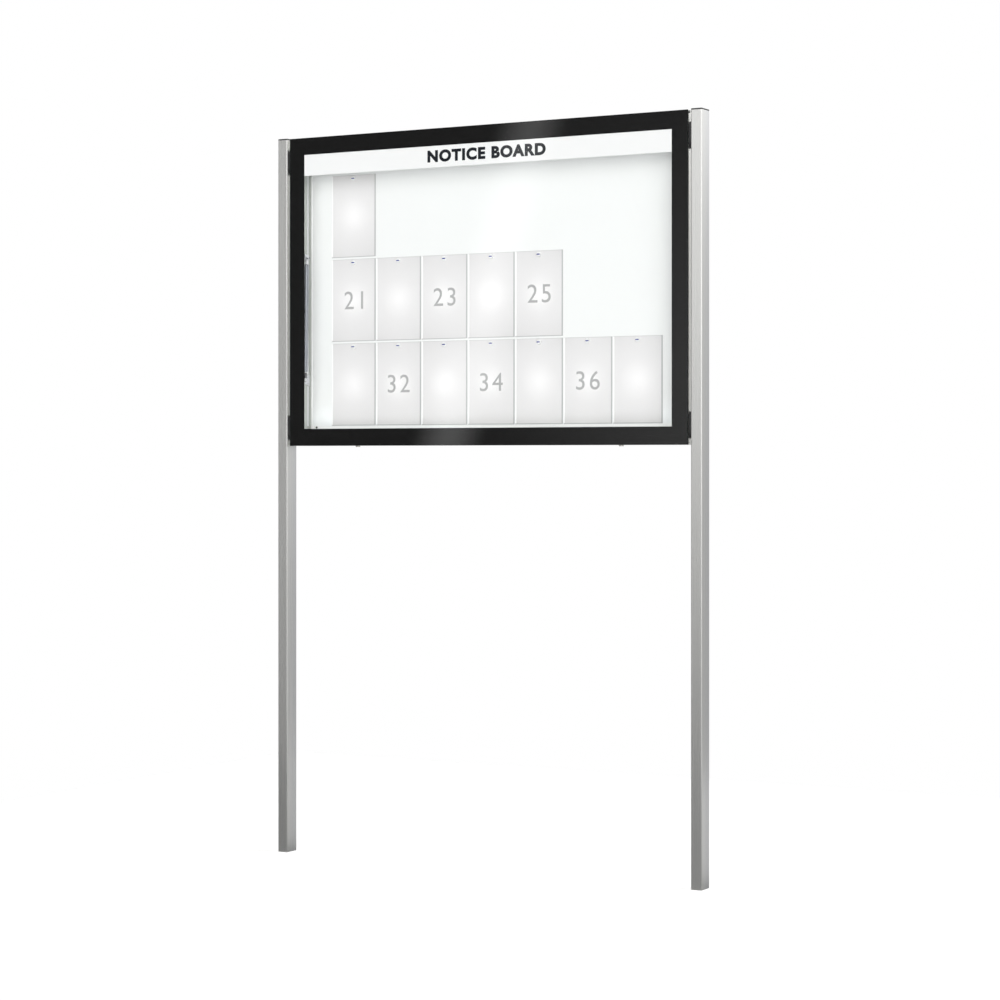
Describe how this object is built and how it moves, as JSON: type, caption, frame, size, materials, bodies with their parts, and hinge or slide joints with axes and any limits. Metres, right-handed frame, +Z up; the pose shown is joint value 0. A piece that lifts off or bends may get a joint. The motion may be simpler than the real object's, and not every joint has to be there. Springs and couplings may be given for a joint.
{
  "type": "lockable notice board",
  "caption": "Lockable outdoor notice board: shallow aluminium case with a top-hung glass door on gas struts, white magnetic panel with sheets, and two posts.",
  "frame": {"origin": "on the ground, midway between the posts and midway through the depth of the case", "axes": "+Z up, +X to the right as seen from the front, +Y from the front of the board to its back"},
  "size_m": [1.692, 0.1, 2.585],
  "materials": {
    "post_aluminium": "satin anodised",
    "case_aluminium": "satin anodised",
    "frame_aluminium": "mill finish",
    "black_plastic": "moulded, matt",
    "black_rubber": "matt",
    "zinc_steel": "zinc plated",
    "nickel_brass": "nickel plated",
    "back_steel": "silver grey powder coat",
    "white_steel": "white powder coat, satin",
    "safety_glass": "clear",
    "black_print": "screen printed enamel",
    "white_plastic": "satin",
    "white_magnet": "glossy",
    "paper": "plain",
    "tape_foam": "adhesive foam",
    "strut_steel": "grey lacquer",
    "rod_steel": "ground and nitrided"
  },
  "bodies": {
    "root": {"back_rivets": "frame_aluminium", "back_sheet": "back_steel", "case_bolts": "zinc_steel", "case_bottom": "case_aluminium", "case_corner_cleats": "frame_aluminium", "case_left": "case_aluminium", "case_right": "case_aluminium", "case_seal": "black_rubber", "case_top": "case_aluminium", "hinge_pin": "rod_steel", "lock_barrel_left": "nickel_brass", "lock_barrel_right": "nickel_brass", "lock_nut_left": "nickel_brass", "lock_nut_right": "nickel_brass", "magnetic_panel": "white_steel", "magnets": "white_magnet", "notices_bottom_row": "paper", "notices_middle_row": "paper", "notices_top_row": "paper", "panel_screws": "black_plastic", "panel_tray": "white_steel", "post_cap_left": "black_plastic", "post_cap_right": "black_plastic", "post_left": "post_aluminium", "post_right": "post_aluminium", "post_rivet_nuts": "zinc_steel", "spacers_left": "black_plastic", "spacers_right": "black_plastic", "strut_bracket_left": "zinc_steel", "strut_bracket_right": "zinc_steel", "strut_bracket_screws": "zinc_steel"},
    "door": {"door_glass": "safety_glass", "door_border": "black_print", "door_top_rail": "frame_aluminium", "door_bottom_rail": "frame_aluminium", "door_stile_left": "frame_aluminium", "door_stile_right": "frame_aluminium", "door_corner_cleats": "frame_aluminium", "glazing_tape": "tape_foam", "header_strip": "white_plastic", "door_screws": "zinc_steel", "door_bracket_left": "zinc_steel", "lock_keeper_left": "zinc_steel", "door_bracket_right": "zinc_steel", "lock_keeper_right": "zinc_steel"},
    "rod_left": {"strut_rod_left": "rod_steel", "strut_socket_left": "black_plastic"},
    "cylinder_left": {"strut_cylinder_left": "strut_steel", "strut_eye_left": "zinc_steel"},
    "lock_left": {"lock_plug_left": "nickel_brass", "lock_cam_left": "zinc_steel", "cam_screw_left": "zinc_steel"},
    "rod_right": {"strut_rod_right": "rod_steel", "strut_socket_right": "black_plastic"},
    "cylinder_right": {"strut_cylinder_right": "strut_steel", "strut_eye_right": "zinc_steel"},
    "lock_right": {"lock_plug_right": "nickel_brass", "lock_cam_right": "zinc_steel", "cam_screw_right": "zinc_steel"}
  },
  "joints": [
    {"name": "door_hinge", "type": "hinge", "parent": "root", "child": "door", "pos_m": [0, -0.0388, 2.576], "axis": [-1, 0, 0], "range_deg": [0, 60]},
    {"name": "rod_swing_left", "type": "hinge", "parent": "root", "child": "rod_left", "pos_m": [-0.7465, -0.021, 1.71], "axis": [1, 0, 0], "range_deg": [0, 31.6]},
    {"name": "cylinder_slide_left", "type": "slide", "parent": "rod_left", "child": "cylinder_left", "axis": [0, 0.0181, 0.9998], "range_m": [0, 0.2912]},
    {"name": "rod_swing_right", "type": "hinge", "parent": "root", "child": "rod_right", "pos_m": [0.7465, -0.021, 1.71], "axis": [1, 0, 0], "range_deg": [0, 31.6]},
    {"name": "cylinder_slide_right", "type": "slide", "parent": "rod_right", "child": "cylinder_right", "axis": [0, 0.0181, 0.9998], "range_m": [0, 0.2912]},
    {"name": "lock_turn_left", "type": "hinge", "parent": "root", "child": "lock_left", "pos_m": [-0.528, -0.009, 1.472], "axis": [0, 0, 1], "range_deg": [0, 90]},
    {"name": "lock_turn_right", "type": "hinge", "parent": "root", "child": "lock_right", "pos_m": [0.528, -0.009, 1.472], "axis": [0, 0, -1], "range_deg": [0, 90]}
  ],
  "couplings": [
    {"joint": "rod_swing_left", "follows": "door_hinge", "ratio": 0.52564},
    {"joint": "cylinder_slide_left", "follows": "door_hinge", "m_per_rad": 0.27792},
    {"joint": "rod_swing_right", "follows": "door_hinge", "ratio": 0.52564},
    {"joint": "cylinder_slide_right", "follows": "door_hinge", "m_per_rad": 0.27792}
  ]
}
